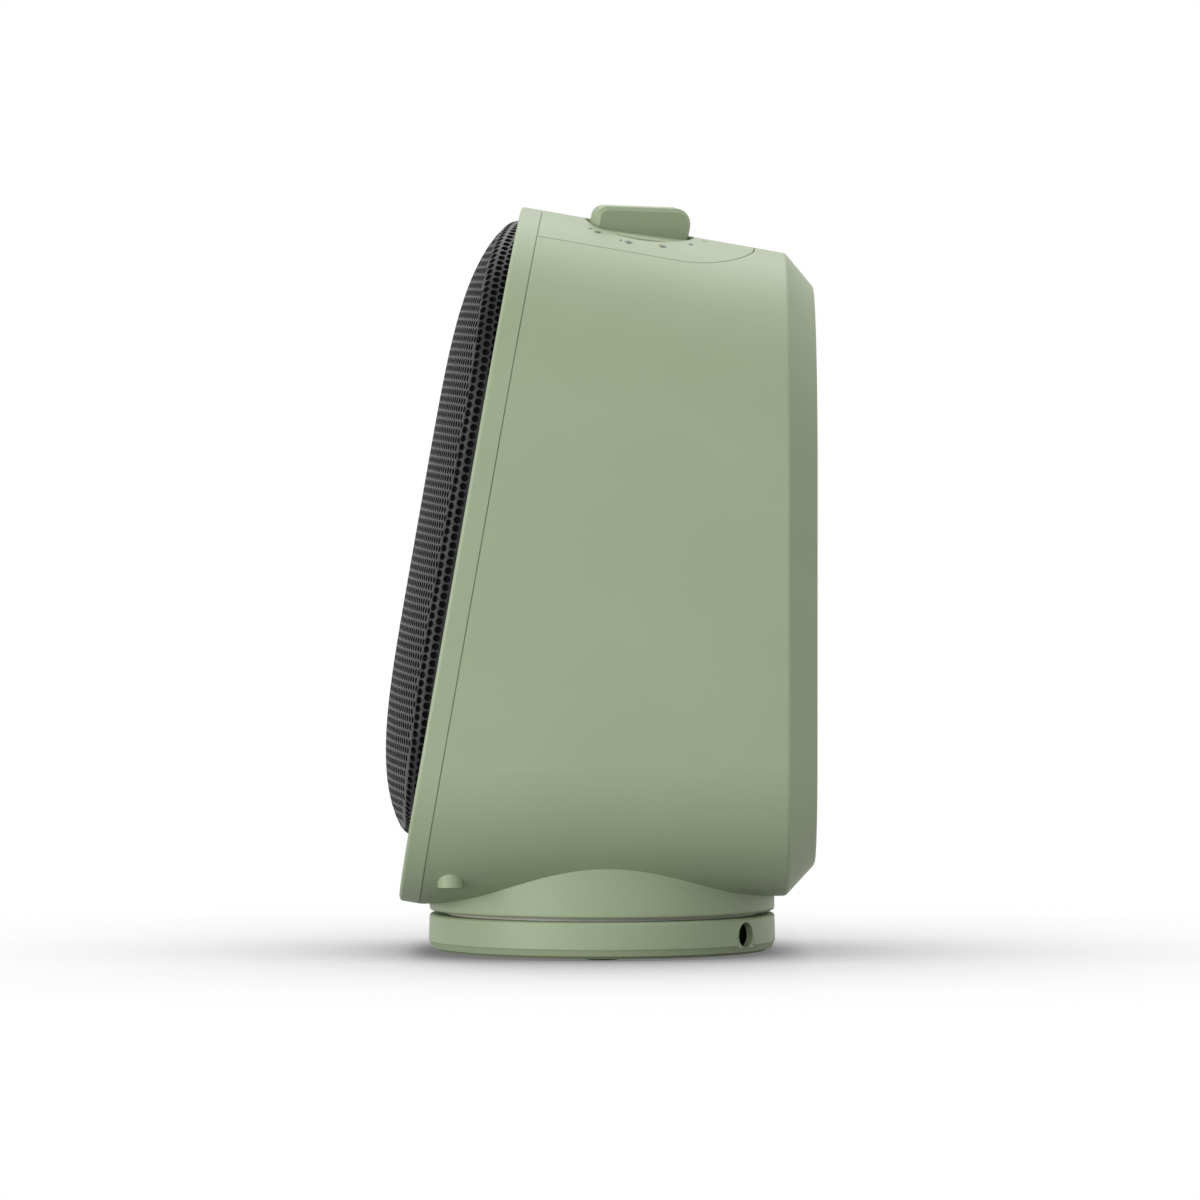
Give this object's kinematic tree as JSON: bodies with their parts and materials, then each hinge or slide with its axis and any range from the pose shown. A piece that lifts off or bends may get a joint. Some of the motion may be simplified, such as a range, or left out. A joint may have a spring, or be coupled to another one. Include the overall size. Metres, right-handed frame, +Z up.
{
  "type": "ceramic fan heater",
  "caption": "Small ceramic fan heater with a leaning arched head, domed black grille, top knob and a round base it swivels on.",
  "frame": {"origin": "centre of the round base on the table, on the swivel axis", "axes": "+Z up, -Y towards the front grille, +X towards the side with the dial marks and the cord outlet"},
  "size_m": [0.152, 0.1485, 0.259],
  "materials": {
    "sage_abs": "satin moulded ABS, sage green",
    "black_grille_nylon": "fine-textured black moulding",
    "black_rubber": "matte",
    "filter_foam": "open-cell foam",
    "white_pbt": "heat-resistant moulding",
    "black_nylon": "moulded nylon",
    "acetal": "moulded acetal",
    "steel": "bright zinc-plated steel",
    "fin_aluminium": "rolled fin stock",
    "stone_ceramic": "sintered ceramic"
  },
  "bodies": {
    "base": {"base_shell": "sage_abs", "base_cover": "sage_abs", "base_screws": "steel", "rubber_feet": "black_rubber", "pivot_post": "acetal", "swivel_retainer": "steel", "swivel_washer": "acetal", "swing_sector": "acetal", "cord_clamp": "black_nylon", "clamp_screws": "steel", "tip_switch": "black_nylon", "tip_spring": "steel"},
    "head": {"front_bezel": "sage_abs", "front_grille": "black_grille_nylon", "rear_housing": "sage_abs", "rear_inlet_grille": "sage_abs", "dust_filter": "filter_foam", "control_panel": "sage_abs", "mode_switch": "black_nylon", "switch_nut": "steel", "swivel_collar": "sage_abs", "collar_screws": "steel", "bezel_screws": "steel", "swing_motor": "steel", "swing_motor_screws": "steel", "air_duct": "white_pbt", "duct_screws": "steel", "heater_frame": "white_pbt", "heater_screws": "steel", "heater_fins": "fin_aluminium", "ceramic_stones": "stone_ceramic", "thermal_cutout": "steel", "thermal_fuse": "steel", "motor_bracket": "white_pbt", "bracket_screws": "steel", "fan_motor": "steel", "motor_screws": "steel", "terminal_block": "white_pbt"},
    "knob": {"mode_knob": "sage_abs", "switch_shaft": "steel"},
    "fan": {"fan_wheel": "acetal", "motor_shaft": "steel"},
    "swing_drive": {"swing_pinion": "acetal"},
    "plunger": {"tip_plunger": "acetal"}
  },
  "joints": [
    {"name": "swivel", "type": "hinge", "parent": "base", "child": "head", "pos_m": [0, 0, 0], "axis": [0, 0, 1], "range_deg": [-35, 35]},
    {"name": "mode_dial", "type": "hinge", "parent": "head", "child": "knob", "pos_m": [0.0086, 0.01302, 0.25111], "axis": [0.1132, 0.1725, 0.9785], "range_deg": [-162.5, 0]},
    {"name": "fan_spin", "type": "hinge", "parent": "head", "child": "fan", "pos_m": [0, -0.04057, 0.14275], "axis": [0, -0.9848, 0.1736], "continuous": true},
    {"name": "pinion_spin", "type": "hinge", "parent": "head", "child": "swing_drive", "pos_m": [0, -0.032, 0], "axis": [0, 0, 1], "range_deg": [-106, 106]},
    {"name": "tip_plunge", "type": "slide", "parent": "base", "child": "plunger", "axis": [0, 0, -1], "range_m": [0, 0.003], "stiffness_N_per_m": 100, "springref_m": 0.006, "deforming": ["tip_spring"]}
  ],
  "couplings": [
    {"joint": "pinion_spin", "follows": "swivel", "ratio": 3}
  ]
}
